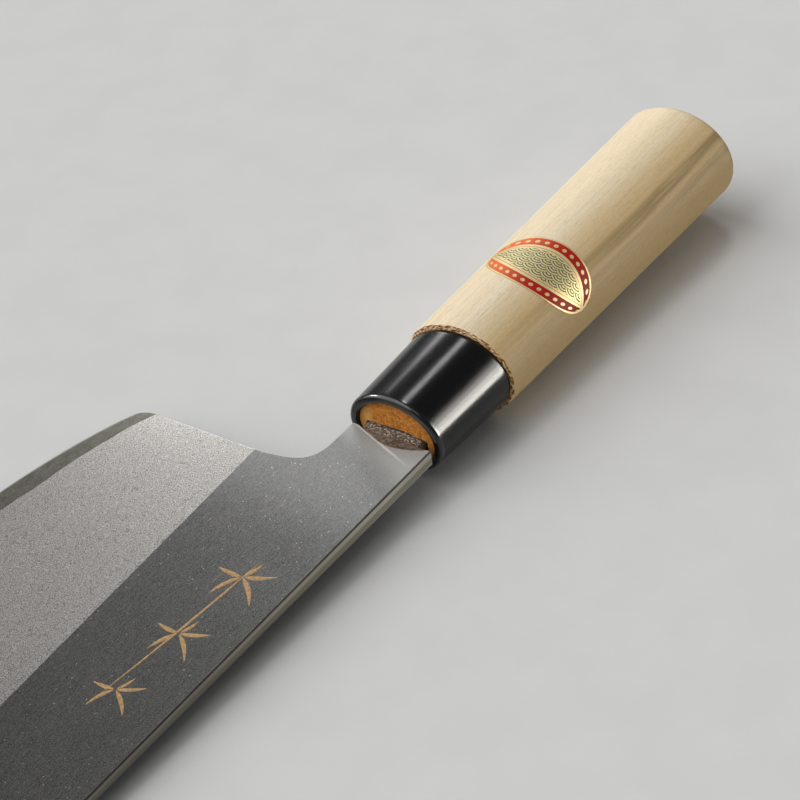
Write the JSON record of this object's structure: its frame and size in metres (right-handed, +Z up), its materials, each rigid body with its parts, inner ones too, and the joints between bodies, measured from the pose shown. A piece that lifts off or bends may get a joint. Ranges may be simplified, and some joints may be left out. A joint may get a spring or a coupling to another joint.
{
  "type": "sushi knife",
  "caption": "Wide single-bevel sushi-roll knife with a curved edge, laminated blade with hollow back, black ferrule and oval wooden handle with a foil label.",
  "frame": {"origin": "middle of the knife's bounding box, on the surface that it lies on", "axes": "+X along the knife from the butt of the handle to the toe of the blade, +Y from the cutting edge to the spine, +Z up out of the bevelled face while the knife lies on its hollow back"},
  "size_m": [0.3878, 0.0924, 0.0293],
  "materials": {
    "soft_iron": "satin on the flat and spine, matte on the bevel, brown forge scale at the neck",
    "hard_steel": "fine ground",
    "pale_wood": "sanded, bare",
    "black_ferrule": "polished",
    "foil": "printed metal foil on paper"
  },
  "bodies": {
    "root": {"blade_iron_body": "soft_iron", "blade_cutting_steel": "hard_steel", "handle": "pale_wood", "ferrule": "black_ferrule", "foil_label": "foil"}
  },
  "joints": []
}
